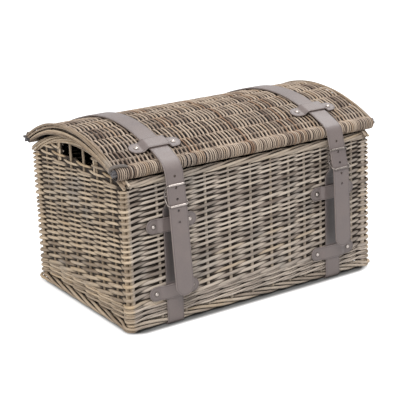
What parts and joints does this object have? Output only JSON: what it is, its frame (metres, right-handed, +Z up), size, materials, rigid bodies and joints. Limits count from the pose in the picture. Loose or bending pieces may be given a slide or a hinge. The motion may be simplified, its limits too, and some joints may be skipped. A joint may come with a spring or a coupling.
{
  "type": "wicker hamper",
  "caption": "Rectangular woven willow hamper with a vaulted hinged lid, arched end walls with hand holes, and leather girth straps closed by wire buckles.",
  "frame": {"origin": "on the floor under the middle of the outline, hanging straps included", "axes": "+X along the hamper to the right, -Y towards its front, +Z up"},
  "size_m": [0.462, 0.3286, 0.287],
  "materials": {
    "willow_weave": "antique wash, matt",
    "willow_rod": "antique wash, matt",
    "leather": "smooth taupe hide, satin",
    "bright_steel": "bright plated"
  },
  "bodies": {
    "basket": {"base_panel": "willow_weave", "front_wall": "willow_weave", "back_wall": "willow_weave", "left_end_wall": "willow_weave", "right_end_wall": "willow_weave", "foot_border": "willow_rod", "front_rim": "willow_rod", "back_rim": "willow_rod", "left_arch_rim": "willow_rod", "right_arch_rim": "willow_rod", "hinge_loop_1": "willow_rod", "hinge_loop_2": "willow_rod", "hinge_loop_3": "willow_rod", "front_left_corner_post": "willow_rod", "front_right_corner_post": "willow_rod", "back_left_corner_post": "willow_rod", "back_right_corner_post": "willow_rod", "left_upper_keeper": "leather", "left_upper_rivet_a": "bright_steel", "left_upper_rivet_b": "bright_steel", "left_lower_keeper": "leather", "left_lower_rivet_a": "bright_steel", "left_lower_rivet_b": "bright_steel", "left_back_keeper": "leather", "left_back_rivet_a": "bright_steel", "left_back_rivet_b": "bright_steel", "left_lower_strap": "leather", "left_back_strap": "leather", "right_upper_keeper": "leather", "right_upper_rivet_a": "bright_steel", "right_upper_rivet_b": "bright_steel", "right_lower_keeper": "leather", "right_lower_rivet_a": "bright_steel", "right_lower_rivet_b": "bright_steel", "right_back_keeper": "leather", "right_back_rivet_a": "bright_steel", "right_back_rivet_b": "bright_steel", "right_lower_strap": "leather", "right_back_strap": "leather"},
    "lid": {"lid_panel": "willow_weave", "lid_front_roll": "willow_rod", "lid_hinge_roll": "willow_rod", "lid_left_band": "willow_rod", "lid_right_band": "willow_rod", "left_lid_keeper": "leather", "left_lid_rivet_a": "bright_steel", "left_lid_rivet_b": "bright_steel", "left_lid_strap": "leather", "right_lid_keeper": "leather", "right_lid_rivet_a": "bright_steel", "right_lid_rivet_b": "bright_steel", "right_lid_strap": "leather"},
    "left_drop": {"left_strap_drop": "leather"},
    "left_tail": {"left_strap_tail": "leather"},
    "left_buckle": {"left_buckle_frame": "bright_steel"},
    "left_prong": {"left_buckle_prong": "bright_steel"},
    "right_drop": {"right_strap_drop": "leather"},
    "right_tail": {"right_strap_tail": "leather"},
    "right_buckle": {"right_buckle_frame": "bright_steel"},
    "right_prong": {"right_buckle_prong": "bright_steel"}
  },
  "joints": [
    {"name": "lid_hinge", "type": "hinge", "parent": "basket", "child": "lid", "pos_m": [0, 0.1518, 0.24101], "axis": [-1, 0, 0], "range_deg": [0, 100], "deforming": ["left_back_strap", "left_strap_drop", "left_strap_tail", "right_back_strap", "right_strap_drop", "right_strap_tail"]},
    {"name": "left_strap_fold", "type": "hinge", "parent": "lid", "child": "left_drop", "pos_m": [-0.1475, -0.1262, 0.24101], "axis": [-1, 0, 0], "range_deg": [-105, 0]},
    {"name": "left_tail_lift", "type": "hinge", "parent": "left_drop", "child": "left_tail", "pos_m": [-0.1475, -0.15293, 0.18198], "axis": [-1, 0, 0], "range_deg": [0, 100]},
    {"name": "left_buckle_swing", "type": "hinge", "parent": "basket", "child": "left_buckle", "pos_m": [-0.1475, -0.14493, 0.19974], "axis": [-1, 0, 0], "range_deg": [0, 40]},
    {"name": "left_prong_swing", "type": "hinge", "parent": "left_buckle", "child": "left_prong", "pos_m": [-0.1475, -0.14493, 0.19974], "axis": [1, 0, 0], "range_deg": [0, 100]},
    {"name": "right_strap_fold", "type": "hinge", "parent": "lid", "child": "right_drop", "pos_m": [0.1475, -0.1262, 0.24101], "axis": [-1, 0, 0], "range_deg": [-105, 0]},
    {"name": "right_tail_lift", "type": "hinge", "parent": "right_drop", "child": "right_tail", "pos_m": [0.1475, -0.15464, 0.18244], "axis": [-1, 0, 0], "range_deg": [0, 100]},
    {"name": "right_buckle_swing", "type": "hinge", "parent": "basket", "child": "right_buckle", "pos_m": [0.1475, -0.14454, 0.19909], "axis": [-1, 0, 0], "range_deg": [0, 40]},
    {"name": "right_prong_swing", "type": "hinge", "parent": "right_buckle", "child": "right_prong", "pos_m": [0.1475, -0.14454, 0.19909], "axis": [1, 0, 0], "range_deg": [0, 100]}
  ],
  "couplings": [
    {"joint": "left_strap_fold", "follows": "lid_hinge", "ratio": -1.05},
    {"joint": "left_buckle_swing", "follows": "lid_hinge", "ratio": 0.4},
    {"joint": "left_prong_swing", "follows": "lid_hinge", "ratio": 1},
    {"joint": "right_strap_fold", "follows": "lid_hinge", "ratio": -1.05},
    {"joint": "right_buckle_swing", "follows": "lid_hinge", "ratio": 0.4},
    {"joint": "right_prong_swing", "follows": "lid_hinge", "ratio": 1}
  ]
}
